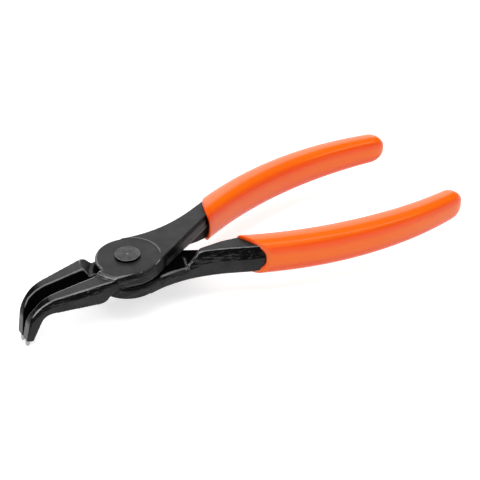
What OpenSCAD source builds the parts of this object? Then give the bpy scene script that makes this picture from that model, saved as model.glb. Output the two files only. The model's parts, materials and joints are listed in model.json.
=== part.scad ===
// Circlip pliers for bores, tips bent down, two forged halves in a riveted lap joint.
// Units are mm. The pivot axis is Z, the handles run to +X, the tips point to -Z.
// The origin is the middle of the rivet's upper end face.

/* [Joint] */
// outer diameter of the two lap discs
joint_d = 24; // [22:0.5:26]
// thickness of the joint over both laps
joint_t = 11.5; // [10.5:0.25:12.5]
// depth of the milled ring around the rivet, on both faces
spot_h = 0.2; // [0.15:0.05:0.4]
// gap between the two lap faces
lap_clear = 0.1; // [0.06:0.02:0.2]
// radius at which a handle starts to rise from its lap face
riser_in = 22; // [20:0.5:24]
// run of the sloped step up to the full handle thickness
riser_run = 4.5; // [3:0.5:6]
// radius at which a jaw starts to drop from its lap face
shoulder_in = 14.5; // [14.2:0.1:15]
// run of the sloped jaw shoulder
shoulder_run = 3; // [2:0.1:3.6]
// radius of the raised jaw root next to the disc
root_r = 13.7; // [13.4:0.1:14]
// rounding at the foot of the handle step
foot_r = 1.4; // [0.8:0.2:2]
// rounding at the crest of the handle step
crest_r = 1.4; // [1:0.2:2]
// chamfer round the free edges of the lap discs
rim_cham = 0.45; // [0.2:0.05:0.6]
// width of the sloped step between jaw root and jaw
root_cham = 1.2; // [0.8:0.1:1.5]

/* [Rivet] */
// diameter of the rivet shank
rivet_d = 6; // [5:0.5:7]
// diameter of the two rivet heads
rivet_head_d = 9.5; // [9:0.25:11]
// height of a rivet head over the milled ring
rivet_head_h = 1.2; // [0.8:0.1:1.6]
// chamfer round the edge of a head
rivet_cham = 0.3; // [0.1:0.05:0.5]
// radial running clearance of the shank in the upper half
pivot_clear = 0.04; // [0.02:0.01:0.08]
// axial play under the upper head
head_clear = 0.08; // [0.04:0.02:0.16]

/* [Handles] */
// distance from the pivot to the end of the grips
reach = 134.5; // [128:0.5:142]
// radius of the bowed handle centre line
bow_r = 150; // [140:2:170]
// distance from the pivot to the widest place of the handles
bow_x = 104; // [100:1:108]
// half the distance between the handle centre lines at the widest place
spread = 28.3; // [27:0.1:31]
// width of a handle where the grip begins
tang_w = 7; // [6.4:0.1:7.6]
// width of the handle core at its end
tang_w_end = 5.4; // [4.8:0.1:6]
// thickness of the handle core at its end
tang_t_end = 8.4; // [7.6:0.1:8.8]
// distance of the narrow handle back from the middle plane
back_y = 9.3; // [8.6:0.1:9.6]
// distance from the pivot to where the narrow back turns into the core
back_x = 34; // [32:0.5:36]
// distance from the pivot to where the free handle ends and the core begins
tang_x = 39; // [38:0.5:40]
// angle on the disc at which the outer handle edge leaves it
leave_a = 75; // [70:1:80]

/* [Grips] */
// width of a grip over its first half
grip_w = 11.1; // [10.4:0.1:12]
// thickness of a grip over its first half
grip_t = 14.7; // [14:0.1:15.5]
// size of the grip end against the mouth
grip_end = 0.78; // [0.76:0.01:0.86]
// squareness of the grip section, 2 is an ellipse
grip_sq = 2.7; // [2.5:0.1:3.4]
// distance from the pivot to the mouth of the upper grip
mouth_upper = 39.5; // [38:0.5:46]
// distance from the pivot to the mouth of the lower grip
mouth_lower = 42; // [38:0.5:46]
// length of the rounded grip end
dome = 7; // [5:0.5:9]
// squareness of the rounded grip end, 2 is an ellipse
dome_sq = 2.2; // [2:0.1:3]
// rounding of the grip mouth
lip_r = 0.9; // [0.6:0.1:1.2]
// slant of the mouth against the handle, degrees
mouth_skew = 44; // [30:1:48]
// depth by which the mouth is hollowed on the two sides
scallop = 2; // [1:0.1:2.5]
// length over which the mouth shape fades into the grip
mouth_fade = 32; // [28:1:40]
// distance from the pivot at which a grip starts to get thinner
slim_x = 60; // [56:1:66]
// distance of the handle core from the outside of the grip end
core_in = 6; // [5.5:0.5:8]

/* [Jaws] */
// height of the jaw top over the lap face at the disc
jaw_top = 4.3; // [4:0.1:4.5]
// depth of the jaw underside below the lap face at the shoulder
jaw_deep = 4.6; // [4.3:0.1:4.8]
// fall of the jaw top towards the bend, degrees
jaw_fall = 5.7; // [4.5:0.1:7]
// rise of the jaw underside towards the bend, degrees
jaw_rise = 1.8; // [1:0.1:2.5]
// taper of the outer jaw side, degrees
jaw_taper = 9.4; // [9:0.1:9.8]
// half the gap between the straight jaw bars
jaw_gap = 3.1; // [2.8:0.1:3.4]
// half the gap between the two bent legs at their ends
leg_gap = 0.35; // [0.3:0.05:0.5]
// distance from the pivot to the end of a leg
tip_reach = 42; // [41:0.1:44]
// depth of the leg end below the lap face
tip_drop = 14.4; // [13.5:0.1:15.2]
// forward lean of the bent legs, degrees
tip_lean = 11; // [8:0.5:13]
// thickness of a leg at its end
leg_t = 2.6; // [2.5:0.1:3.2]
// taper of a leg between its front and its back, degrees
leg_flare = 13; // [11:0.5:15]
// radius outside the bend
bend_out = 12; // [10:0.5:13]
// radius inside the bend
bend_in = 4.5; // [3.5:0.5:5.5]
// lean of the outer jaw side away from its parting line, degrees
jaw_draft = 4; // [2:0.5:5]
// height of the parting line over the lap face
part_z = 0.8; // [0.4:0.1:1.2]
// length by which a jaw runs into its disc
jaw_in = 8; // [7.5:0.25:8.5]
// extra half gap between the jaw bars at the joint
gap_more = 0.2; // [0.1:0.05:0.4]
// length of the closing part of the jaws, from the leg end
close_run = 14; // [12:0.5:16]
// length of the closed part of the jaws, from the leg end
shut_run = 2.4; // [2:0.1:3]
// height of the leg end that closes straight
shut_h = 2.2; // [1.8:0.1:2.6]
// depth below the lap face at which the inner jaw side starts to close
slope_z = 1.2; // [0.8:0.1:1.6]
// depth below the lap face at which the inner jaw side is nearly closed
knee_z = 6.5; // [6:0.25:7]
// half gap beyond the leg gap at the knee
knee_gap = 0.75; // [0.6:0.05:1]
// rounding at the foot of a jaw shoulder
shoulder_foot = 0.7; // [0.4:0.1:1]
// rounding at the crest of a jaw shoulder
shoulder_crest = 2; // [1.2:0.2:2.4]

/* [Tips] */
// diameter of the free end of the tip pins
tip_d = 1.8; // [1.5:0.1:1.8]
// diameter of the pin shank pressed into the jaw
shank_d = 2.2; // [2.2:0.05:2.3]
// free length of a tip pin
tip_out = 2.7; // [2.2:0.1:3.2]
// straight part of the free length
tip_straight = 1.5; // [1.2:0.1:1.6]
// diameter at the end of a tip pin
tip_end_d = 1.2; // [1:0.1:1.3]
// length of a pin inside its jaw
tip_in = 6; // [5:0.5:7]
// chamfer at the end of a tip pin
tip_cham = 0.2; // [0.1:0.05:0.3]
// distance of a pin from the middle plane
tip_y = 2.0; // [1.8:0.05:2.2]

/* [Hidden] */
$fn = 96;
disc_r = joint_d / 2;
half_t = joint_t / 2;
face_z = half_t - spot_h;
lap_z = lap_clear / 2;
z_lap = -(face_z + rivet_head_h);
bow_c = [bow_x, spread - bow_r];
tang_end_x = reach - core_in;
rise_at = shoulder_run * tan(jaw_rise);
fall_at = (shoulder_in + shoulder_run - disc_r) * tan(jaw_fall);
far = 60;

function unit(v) = v / norm(v);
function bow_a(x) = asin((x - bow_x) / bow_r);
function on_bow(a, off = 0) = bow_c + (bow_r + off) * [sin(a), cos(a)];
function cross_at(p, u, q, w) = p + u * ((q - p).x * w.y - (q - p).y * w.x) / (u.x * w.y - u.y * w.x);
function bezier(a, b, c, t) = a * pow(1 - t, 2) + b * 2 * t * (1 - t) + c * t * t;
function tang_at(x) = tang_w + (tang_w_end - tang_w) * (x - tang_x) / (tang_end_x - tang_x);

// points of a rounded corner at c between the lines to a and b
function round_o(a, c, b, r) = c + unit(unit(a - c) + unit(b - c)) * r / sin(round_h(a, c, b));
function round_h(a, c, b) = acos(unit(a - c) * unit(b - c)) / 2;
function round_p(a, c, b, r) = c + unit(a - c) * r / tan(round_h(a, c, b));
function past(a, c, b) = c - unit(unit(a - c) + unit(b - c)) * 2;

// lap disc of the upper half, with chamfered rims
module lap_disc() {
  rotate_extrude() polygon([
    [0, lap_z], [disc_r - rim_cham, lap_z], [disc_r, lap_z + rim_cham],
    [disc_r, face_z - rim_cham], [disc_r - rim_cham, face_z], [0, face_z]]);
}

// plan of the upper handle from the pivot to the end of its core
module handle_plan() {
  a0 = bow_a(tang_x);
  inner = on_bow(a0, -tang_w / 2);
  outer = on_bow(a0, tang_w / 2);
  touch = atan2(inner.y, inner.x) - acos(disc_r / norm(inner));
  leave = disc_r * [cos(leave_a), sin(leave_a)];
  bend = cross_at(leave, [sin(leave_a), -cos(leave_a)], outer, [cos(a0), -sin(a0)]);
  polygon(concat(
    [[0, 0], disc_r * [cos(touch), sin(touch)]],
    [for (i = [0:18]) let (x = tang_x + (tang_end_x - tang_x) * i / 18) on_bow(bow_a(x), -tang_at(x) / 2)],
    [for (i = [18:-1:0]) let (x = tang_x + (tang_end_x - tang_x) * i / 18) on_bow(bow_a(x), tang_at(x) / 2)],
    [for (i = [1:12]) bezier(outer, bend, leave, i / 12)]));
}

// side view of the handle: full thickness, then the tapering core
module handle_side() {
  polygon([
    [-far, -half_t], [tang_x, -half_t], [tang_end_x, -tang_t_end / 2], [far * 4, -tang_t_end / 2],
    [far * 4, tang_t_end / 2], [tang_end_x, tang_t_end / 2], [tang_x, half_t], [-far, half_t]]);
}

// what a rounding of radius r takes off the corner at c between the lines to a and b
module corner_off(a, c, b, r) {
  difference() {
    polygon([round_p(a, c, b, r), past(a, c, b), round_p(b, c, a, r)]);
    translate(round_o(a, c, b, r)) circle(r);
  }
}

// space milled under the upper lap, with a sloped edge at radius r
// the edge is rounded at its foot and at its crest, which lies at depth deep
module lap_cut(r, run, foot, crest, deep) {
  a = [r - 3, lap_z];
  c = [r, lap_z];
  b = [r + run, -half_t];
  d = c + (b - c) * (lap_z + deep) / (lap_z + half_t);
  rotate_extrude() {
    difference() {
      polygon([[0, lap_z], c, b, b - [0, 1], [0, -half_t - 1]]);
      corner_off(a, c, b, foot);
    }
    corner_off(c, d, d + [3, 0], crest);
  }
}

// the narrow back of the upper handle, below its wide lap
module back_cut() {
  inner = on_bow(bow_a(tang_x), -tang_w / 2);
  translate([0, 0, -half_t - 1]) linear_extrude(half_t + 1 + lap_z)
    polygon([[-5, -far], [-5, back_y], [back_x, back_y], inner, [inner.x, -far]]);
}

// one forged half without its jaw, as the upper half lies
module handle_half() {
  difference() {
    union() {
      lap_disc();
      intersection() {
        translate([0, 0, -half_t]) linear_extrude(joint_t) handle_plan();
        translate([0, far, 0]) rotate([90, 0, 0]) linear_extrude(2 * far) handle_side();
      }
    }
    lap_cut(riser_in, riser_run, foot_r, crest_r, half_t);
    back_cut();
  }
}

// side view of a bent jaw, x against height over the lap face
module jaw_side() {
  down = [-sin(tip_lean), -cos(tip_lean)];
  wide = [cos(tip_lean), -sin(tip_lean)];
  tip = [-tip_reach, -tip_drop];
  front = tip - wide * leg_t / 2;
  back = tip + wide * leg_t / 2;
  back_u = [sin(tip_lean + leg_flare), cos(tip_lean + leg_flare)];
  top = [-disc_r, jaw_top];
  top_u = [-cos(jaw_fall), -sin(jaw_fall)];
  low = [-shoulder_in, -jaw_deep];
  low_u = [-cos(jaw_rise), sin(jaw_rise)];
  c_out = cross_at(top, top_u, front, -down);
  c_in = cross_at(low, low_u, back, back_u);
  start = top - top_u * jaw_in;
  under = low - low_u * jaw_in;
  difference() {
    polygon([start, c_out, front, back, c_in, under]);
    corner_off(start, c_out, front, bend_out);
  }
  corner_off(back, c_in, under, bend_in);
}

// outer side of the near jaw: two drafted planes that meet in the parting line beside the disc
module jaw_outer_cut() {
  rotate([0, 0, -jaw_taper]) translate([0, -disc_r, part_z]) for (lean = [-jaw_draft, jaw_draft])
    rotate([lean, 0, 0]) translate([-2 * far, -far, -far]) cube([2 * far + disc_r, far, 2 * far]);
}

// inner side of the near jaw: the gap between the bars and the closing legs
module jaw_inner_cut() {
  translate([0, 0, -far]) linear_extrude(2 * far) polygon([
    [far, -jaw_gap - gap_more], [-shoulder_in, -jaw_gap - gap_more], [close_run - tip_reach, -jaw_gap],
    [shut_run - tip_reach, -leg_gap], [-2 * far, -leg_gap], [-2 * far, far], [far, far]]);
  translate([-2 * far, 0, 0]) rotate([90, 0, 90]) linear_extrude(3 * far) polygon([
    [-jaw_gap, far], [-jaw_gap, -slope_z], [-leg_gap - knee_gap, -knee_z],
    [-leg_gap, shut_h - tip_drop], [-leg_gap, -far], [far, -far], [far, far]]);
}

// bent jaw on the near side, still solid through the joint
module jaw() {
  difference() {
    translate([0, -0.1, 0]) rotate([90, 0, 0]) linear_extrude(disc_r + 4) jaw_side();
    jaw_outer_cut();
    jaw_inner_cut();
  }
}

// raised root between the disc and the near jaw, on the upper lap
module jaw_root() {
  difference() {
    intersection() {
      rotate_extrude() polygon([
        [0, lap_z], [root_r + root_cham, lap_z], [root_r + root_cham, face_z - root_cham],
        [root_r, face_z], [0, face_z]]);
      translate([-far, -far, 0]) cube([far, far - jaw_gap, half_t]);
    }
    jaw_outer_cut();
  }
}

// line of a tip pin on the near side, from the end face of the leg
module on_tip() {
  translate([-tip_reach, -tip_y, -tip_drop]) rotate([0, 180 + tip_lean, 0]) children();
}

module tip_hole() {
  on_tip() translate([0, 0, -tip_in]) cylinder(h = tip_in + 4, d = shank_d);
}

// the part of a half that lies on the upper lap, with the near jaw
module upper_body() {
  difference() {
    union() {
      handle_half();
      jaw_root();
      difference() {
        jaw();
        lap_cut(shoulder_in, shoulder_run, shoulder_foot, shoulder_crest, jaw_deep - rise_at);
      }
    }
    translate([0, 0, face_z]) cylinder(h = 4, r = disc_r);
    tip_hole();
  }
}

// the same forging turned over, with the far jaw bent the same way down
module lower_body() {
  difference() {
    union() {
      rotate([180, 0, 0]) handle_half();
      rotate([180, 0, 0]) jaw_root();
      difference() {
        mirror([0, 1, 0]) jaw();
        rotate([180, 0, 0])
          lap_cut(shoulder_in, shoulder_run, shoulder_foot, shoulder_crest, jaw_top - fall_at);
      }
    }
    rotate([180, 0, 0]) translate([0, 0, face_z]) cylinder(h = 4, r = disc_r);
    mirror([0, 1, 0]) tip_hole();
  }
}

module upper_half() {
  color([0.11, 0.11, 0.12]) translate([0, 0, z_lap]) difference() {
    upper_body();
    translate([0, 0, -joint_t]) cylinder(h = 2 * joint_t, d = rivet_d + 2 * pivot_clear);
  }
}

module lower_half() {
  color([0.11, 0.11, 0.12]) translate([0, 0, z_lap]) difference() {
    lower_body();
    translate([0, 0, -joint_t]) cylinder(h = 2 * joint_t, d = rivet_d);
  }
}

module pivot_rivet() {
  r = rivet_d / 2;
  hr = rivet_head_d / 2;
  top = face_z + rivet_head_h;
  color([0.2, 0.2, 0.21]) translate([0, 0, z_lap]) rotate_extrude() polygon([
    [0, top], [hr - rivet_cham, top], [hr, top - rivet_cham], [hr, face_z + head_clear],
    [r, face_z + head_clear], [r, -face_z], [hr, -face_z], [hr, rivet_cham - top],
    [hr - rivet_cham, -top], [0, -top]]);
}

// bare steel pin on the near side
module tip_pin() {
  r = tip_d / 2;
  on_tip() rotate_extrude() polygon([
    [0, -tip_in], [shank_d / 2, -tip_in], [shank_d / 2, 0], [r, 0], [r, tip_straight],
    [tip_end_d / 2, tip_out - tip_cham], [tip_end_d / 2 - tip_cham, tip_out], [0, tip_out]]);
}

module upper_tip() {
  color([0.72, 0.72, 0.74]) translate([0, 0, z_lap]) tip_pin();
}

module lower_tip() {
  color([0.72, 0.72, 0.74]) translate([0, 0, z_lap]) mirror([0, 1, 0]) tip_pin();
}

// size of the grip section at distance x from the pivot
function grip_f(x) = x < slim_x ? 1 : 1 - (1 - grip_end) * pow((x - slim_x) / (reach - slim_x), 2);
// shrink of the section in the rounded end, d before the end
function dome_f(d) = d >= dome ? 1 : pow(1 - pow(1 - d / dome, dome_sq), 1 / dome_sq);
// step back of the section in the rounded lip, d behind the mouth
function lip_f(d) = d >= lip_r ? 0 : lip_r - sqrt(lip_r * lip_r - pow(lip_r - d, 2));
function sq(v) = sign(v) * pow(abs(v), 2 / grip_sq);
function fade(x, m) = max(0, 1 - (x - m) / mouth_fade);
function ring(x, m, n) = let (f = grip_f(x) * dome_f(reach - x), e = lip_f(x - m))
  [for (j = [0:n - 1]) let (
    v = (grip_w / 2 * f - e) * sq(cos(360 * j / n)),
    w = sq(sin(360 * j / n)),
    p = on_bow(bow_a(x + fade(x, m) * (v * tan(mouth_skew) + scallop * (1 - w * w))), v))
    [p.x, p.y, (grip_t / 2 * f - e) * w]];

// outer body of a dipped grip that begins at distance m
module grip_skin(m) {
  n = 28;
  xs = concat([for (i = [0:3]) m + lip_r * (1 - cos(30 * i))],
    [for (i = [1:15]) m + lip_r + (reach - dome - m - lip_r) * i / 15],
    [for (i = [1:7]) reach - dome + dome * sin(12 * i)], [reach - 0.004 * dome]);
  k = len(xs);
  mid = on_bow(bow_a(m + scallop));
  polyhedron(
    points = concat([for (x = xs) for (p = ring(x, m, n)) p], [[mid.x, mid.y, 0]]),
    faces = concat(
      [for (j = [0:n - 1]) [k * n, j, (j + 1) % n]],
      [for (i = [0:k - 2]) for (j = [0:n - 1])
        [i * n + j, (i + 1) * n + j, (i + 1) * n + (j + 1) % n, i * n + (j + 1) % n]],
      [[for (j = [n - 1:-1:0]) (k - 1) * n + j]]));
}

module grip(m) {
  difference() {
    grip_skin(m);
    handle_half();
  }
}

module upper_grip() {
  color([0.98, 0.36, 0.08]) translate([0, 0, z_lap]) grip(mouth_upper);
}

module lower_grip() {
  color([0.98, 0.36, 0.08]) translate([0, 0, z_lap]) rotate([180, 0, 0]) grip(mouth_lower);
}

lower_half();
pivot_rivet();
lower_tip();
lower_grip();
upper_half();
upper_tip();
upper_grip();
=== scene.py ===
"""Bent circlip pliers: the looks of the forged halves, rivet, tip pins and dipped grips."""

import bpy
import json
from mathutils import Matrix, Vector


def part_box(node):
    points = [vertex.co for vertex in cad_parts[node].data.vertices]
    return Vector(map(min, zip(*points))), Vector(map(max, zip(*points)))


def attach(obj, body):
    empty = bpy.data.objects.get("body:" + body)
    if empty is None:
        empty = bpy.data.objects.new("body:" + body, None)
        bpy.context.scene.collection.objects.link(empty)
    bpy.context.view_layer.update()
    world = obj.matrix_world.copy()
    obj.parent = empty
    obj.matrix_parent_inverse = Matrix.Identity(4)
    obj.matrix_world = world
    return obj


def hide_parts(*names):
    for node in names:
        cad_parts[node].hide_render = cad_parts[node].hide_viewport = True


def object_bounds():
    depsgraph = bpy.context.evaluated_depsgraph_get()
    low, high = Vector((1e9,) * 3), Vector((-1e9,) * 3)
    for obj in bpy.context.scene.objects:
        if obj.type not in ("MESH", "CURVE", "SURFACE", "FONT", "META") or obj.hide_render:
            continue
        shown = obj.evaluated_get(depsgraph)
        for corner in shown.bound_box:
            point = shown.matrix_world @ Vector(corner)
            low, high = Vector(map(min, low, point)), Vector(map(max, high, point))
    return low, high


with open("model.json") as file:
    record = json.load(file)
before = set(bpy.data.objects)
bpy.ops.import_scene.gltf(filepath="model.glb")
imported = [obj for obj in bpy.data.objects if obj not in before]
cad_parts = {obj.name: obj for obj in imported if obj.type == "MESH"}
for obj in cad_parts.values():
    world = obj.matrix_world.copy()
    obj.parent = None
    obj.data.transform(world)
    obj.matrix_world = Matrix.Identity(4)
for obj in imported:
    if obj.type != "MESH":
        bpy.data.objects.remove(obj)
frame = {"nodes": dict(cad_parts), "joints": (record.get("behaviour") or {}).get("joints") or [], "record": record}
CAD_BOX = [list(corner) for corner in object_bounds()]

import json
import math
from functools import partialmethod

import bmesh
import bpy
import numpy as np
from bpy.props import (FloatProperty, FloatVectorProperty, IntProperty,
                       PointerProperty)
from mathutils import Matrix, Vector

bl_info = {
    "name": "Bent Circlip Pliers",
    "version": (1, 0, 0),
    "blender": (4, 5, 0),
    "location": "3D View > Sidebar > Pliers",
    "description": "Dresses the packed solids of a pair of bent circlip pliers",
    "category": "Object",
}

MM = 0.001
PIVOT = Vector(frame["joints"][0]["pos_m"])
BODY_OF = {node: body for body, nodes in frame["record"]["behaviour"]["bodies"].items()
           for node in nodes}
MOUNTS = {m["name"]: m for m in frame["record"]["mounts"]}


def length(name, default, text):
    """A size property in metres, given in millimetres."""
    return FloatProperty(name=name, description=text, default=default * MM,
                         subtype="DISTANCE", unit="LENGTH", precision=5)


def angle(name, default, text):
    """An angle property, given in degrees."""
    return FloatProperty(name=name, description=text, default=math.radians(default),
                         subtype="ANGLE", unit="ROTATION")


def colour(name, default, text):
    """A colour property, linear."""
    return FloatVectorProperty(name=name, description=text, default=default, size=3,
                               subtype="COLOR", min=0.0, max=1.0)


def ratio(name, default, text):
    """A plain number between 0 and 1."""
    return FloatProperty(name=name, description=text, default=default, min=0.0, max=1.0,
                         subtype="FACTOR")


def watts(name, default, text):
    """The power of a lamp, in watts."""
    return FloatProperty(name=name, description=text, default=default, unit="POWER")


class ForgingSizes(bpy.types.PropertyGroup):
    """Sizes of the two forged steel halves."""

    grain: length("Mesh grain", 0.23, "Edge length of the fine mesh on the forgings")
    rounds: IntProperty(name="Edge softening", default=5, min=1, max=20,
                        description="How often the edges of the forgings are eased")
    draft: angle("Draft", 3.5, "Lean of the forged sides away from the parting line")
    half: length("Half thickness", 5.75, "Half the thickness of joint and handles")
    lap_mid: length("Parting line at the lap", 2.8, "Height of the parting line on a lap disc")
    lap_edge: length("Lap edge", 0.6, "Width of the broken edge along the lap")
    step_from: length("Parting line leaves the lap", 19, "Distance from the pivot")
    step_to: length("Parting line reaches the handle", 29, "Distance from the pivot")
    core_from: length("Core from", 50, "Distance from the pivot where the grip hides the steel")


class GripSizes(bpy.types.PropertyGroup):
    """Sizes of the two dipped grips, the same as in the solids."""

    mouth_upper: length("Upper mouth", 39.5, "Distance from the pivot to the upper grip")
    mouth_lower: length("Lower mouth", 42, "Distance from the pivot to the lower grip")
    reach: length("Reach", 134.5, "Distance from the pivot to the grip ends")
    width: length("Width", 11.1, "Width over the first half")
    thickness: length("Thickness", 14.7, "Thickness over the first half")
    slim_from: length("Slims from", 60, "Distance from the pivot where a grip slims")
    end_size: ratio("End size", 0.78, "Size of the end against the mouth")
    squareness: FloatProperty(name="Squareness", default=2.7, min=2.0, max=5.0,
                              description="Power of the section, 2 is an ellipse")
    dome: length("Rounded end", 7, "Length of the rounded end")
    lip: length("Lip", 0.85, "Rounding of the mouth")
    skew: angle("Mouth slant", 44, "Slant of the mouth against the handle")
    scallop: length("Mouth hollow", 2, "Depth of the hollow on the two sides of the mouth")
    fade: length("Mouth fade", 32, "Length over which the mouth fades into the grip")
    bow_radius: length("Bow radius", 150, "Radius of the handle's centre line")
    bow_at: length("Bow at", 104, "Distance from the pivot to the widest place")
    spread: length("Spread", 28.3, "Half the distance between the handles at the widest place")


class RivetSizes(bpy.types.PropertyGroup):
    """Sizes of the pivot rivet and of the tip pins."""

    head_edge: length("Head edge", 0.35, "Rounding round a rivet head")
    mark: length("Centre mark", 0.55, "Radius of the small mark in a rivet head")
    mark_deep: length("Mark depth", 0.22, "Depth of the small mark")
    shank: length("Shank", 3, "Radius of the rivet shank")
    pin_end: length("Pin end", 0.6, "Radius at the end of a tip pin")
    pin_out: length("Pin length", 2.7, "Free length of a tip pin")
    pin_in: length("Pin root", 6, "Length of a tip pin inside its jaw")
    pin_root: length("Pin root radius", 1.1, "Radius of a tip pin inside its jaw")


class FinishColours(bpy.types.PropertyGroup):
    """Colours of the finishes."""

    black: colour("Phosphated steel", (0.0265, 0.0265, 0.0273), "Milled black faces")
    forged: colour("Forged skin", (0.02, 0.02, 0.0204), "Sides as they were forged")
    # Bare steel colour for rubbed edges, also used for the painted highlights and glints
    worn: colour("Worn edge", (0.42, 0.42, 0.43), "Where the black has rubbed off")
    bare: colour("Bare steel", (0.40, 0.40, 0.41), "Turned tip pins")
    grip: colour("Dipped grip", (0.89, 0.142, 0.0008), "Plastic of the grips")
    # Deeper orange for random tone and the lip, and as painted shade along the turn of the grip's section
    grip_deep: colour("Dipped grip, deep", (0.85, 0.060, 0.0005), "Thin plastic over the edges")


class StageSizes(bpy.types.PropertyGroup):
    """Camera, floor and light."""

    elevation: angle("Camera elevation", 33.89, "Height of the camera over the horizon")
    azimuth: angle("Camera azimuth", -31.13, "Turn of the camera round the pliers")
    distance: length("Camera distance", 456.34, "From the camera to the aim")
    aim: FloatVectorProperty(name="Aim", default=(0.036767, -0.018539, 0.003673), size=3,
                             subtype="XYZ", unit="LENGTH", description="Middle of the picture")
    lens: FloatProperty(name="Lens", default=93.75, unit="CAMERA", description="Focal length")
    floor: colour("Floor", (0.80, 0.80, 0.80), "Pale floor")
    glow: ratio("Floor glow", 0.48, "Glow of the floor towards the camera")
    top_light: watts("Top light", 4.9, "Power of the soft box overhead")
    strip_light: watts("Strip light", 2.2, "Power of the narrow box overhead")
    side_light: watts("Side light", 1.3, "Power of the soft box before the jaws")
    back_light: watts("Back light", 2.7, "Power of the wide low light behind the far side")
    fill_light: watts("Fill light", 1.6, "Power of the soft box beside the camera")
    sky: ratio("Sky", 0.45, "Strength of the white surround on the pliers")
    room: ratio("Room", 0.06, "Brightness of the dim part of the surround, in reflections")


class Wire:
    """A socket in a node tree that takes part in Python expressions."""

    def __init__(self, tree, socket):
        self.tree, self.socket = tree, socket

    def join(self, operation, *values):
        """A maths node over the values."""
        node = self.tree.nodes.new("ShaderNodeMath")
        node.operation = operation
        for slot, value in zip(node.inputs, values):
            plug(self.tree, slot, value)
        return Wire(self.tree, node.outputs[0])

    def math(self, operation, *others):
        """A maths node that starts from this socket."""
        return self.join(operation, self, *others)

    def clamp(self, low=0.0, high=1.0):
        return self.math("MAXIMUM", low).math("MINIMUM", high)

    __add__ = __radd__ = partialmethod(math, "ADD")
    __mul__ = __rmul__ = partialmethod(math, "MULTIPLY")
    __sub__ = partialmethod(math, "SUBTRACT")
    __truediv__ = partialmethod(math, "DIVIDE")
    __pow__ = partialmethod(math, "POWER")

    def __rsub__(self, other):
        return self.join("SUBTRACT", other, self)

    def __rtruediv__(self, other):
        return self.join("DIVIDE", other, self)


def plug(tree, slot, value):
    """Links a wire to a socket, or sets the socket to a plain value."""
    if isinstance(value, Wire):
        tree.links.new(value.socket, slot)
    else:
        slot.default_value = value


def find(sockets, key):
    """A socket by its identifier, or else by its name or place."""
    for s in sockets:
        if s.identifier == key:
            return s
    return sockets[key]


class Sheet:
    """A node tree that is filled from Python."""

    def __init__(self, tree):
        self.tree = tree

    def node(self, kind, values=None, out=0, **settings):
        """A new node with its values and settings: one of its outputs, or the node itself."""
        made = self.tree.nodes.new(kind)
        for key, value in settings.items():
            setattr(made, key, value)
        for key, value in (values or {}).items():
            plug(self.tree, find(made.inputs, key), value)
        if out is None:
            return made
        return Wire(self.tree, find(made.outputs, out))

    def mix(self, share, a, b):
        """A colour between a and b."""
        return self.node("ShaderNodeMix", {"Factor_Float": share, "A_Color": a, "B_Color": b},
                         "Result_Color", data_type="RGBA")

    def noise(self, place, scale, detail=3.0, rough=0.55, warp=0.0):
        """Soft noise between 0 and 1, with scale in waves to the metre."""
        return self.node("ShaderNodeTexNoise", {"Vector": place, "Scale": scale, "Detail": detail,
                                                "Roughness": rough, "Distortion": warp})

    def band(self, value, low, high):
        """0 below low, 1 over high, smooth between."""
        return self.node("ShaderNodeMapRange", {"Value": value, "From Min": low, "From Max": high},
                         interpolation_type="SMOOTHSTEP")

    def mark(self, name):
        """A number painted on the piece's own mesh."""
        return self.node("ShaderNodeAttribute", None, "Fac", attribute_name=name)

    def bump(self, height, strength, reach):
        """A normal that leans with the height, which counts in units of reach."""
        return self.node("ShaderNodeBump", {"Strength": strength, "Distance": reach,
                                            "Height": height})


def rgba(shade, times=1.0):
    """A colour as a socket takes it, made lighter or darker."""
    return (*(min(1.0, c * times) for c in shade), 1.0)


def new_material(name):
    """An empty material and its sheet."""
    made = bpy.data.materials.new(name)
    made.use_nodes = True
    made.node_tree.nodes.clear()
    return made, Sheet(made.node_tree)


def finish_with(sheet, values):
    """Ends a material in one Principled shader."""
    shader = sheet.node("ShaderNodeBsdfPrincipled", values)
    sheet.node("ShaderNodeOutputMaterial", {"Surface": shader}, None)


def object_place(sheet):
    """The place of a point in the piece's own frame."""
    return sheet.node("ShaderNodeTexCoord", None, "Object")


def stretched(sheet, place, scale, turn=(0.0, 0.0, 0.0)):
    """A place scaled unevenly, for noise that runs in streaks."""
    return sheet.node("ShaderNodeMapping", {"Vector": place, "Rotation": turn, "Scale": scale})


def milled_black_steel(shades):
    """Flat milled faces under a thin phosphate coat, rubbed bright along the edges, with painted highlights on
    edges and lines.
    """
    made, s = new_material("milled_black_steel")
    place = object_place(s)
    fine = s.noise(place, 5200.0, 2.0)
    cloud = s.noise(place, 160.0, 4.0)
    brushed = s.noise(stretched(s, place, (400.0, 5200.0, 900.0), (0.0, 0.0, 0.5)), 1.0, 2.0)
    # the wear and ground marks carry painted highlights as well as rubbed and ground steel
    wear_and_highlight = s.band(s.mark("wear_and_highlight") * (0.45 + 1.1 * cloud), 0.25, 0.85)
    ground_and_highlight = s.mark("ground_and_highlight") * (0.35 + 0.45 * brushed)
    black = s.mix(s.band(cloud, 0.3, 0.75), rgba(shades.black, 0.7), rgba(shades.black, 1.3))
    base = s.mix(wear_and_highlight * 0.8, black, rgba(shades.worn))
    base = s.mix(ground_and_highlight, base, rgba(shades.worn, 0.9))
    rough = (0.26 + 0.12 * cloud + 0.07 * fine + 0.06 * wear_and_highlight).clamp(0.18, 0.7)
    metal = (wear_and_highlight * 0.8 + ground_and_highlight * 0.6).clamp()
    height = fine * 0.5 + brushed * 0.35
    finish_with(s, {"Base Color": base, "Roughness": rough, "Metallic": metal,
                    "Specular IOR Level": 0.1, "Normal": s.bump(height, 0.22, 0.00004)})
    return made


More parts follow.
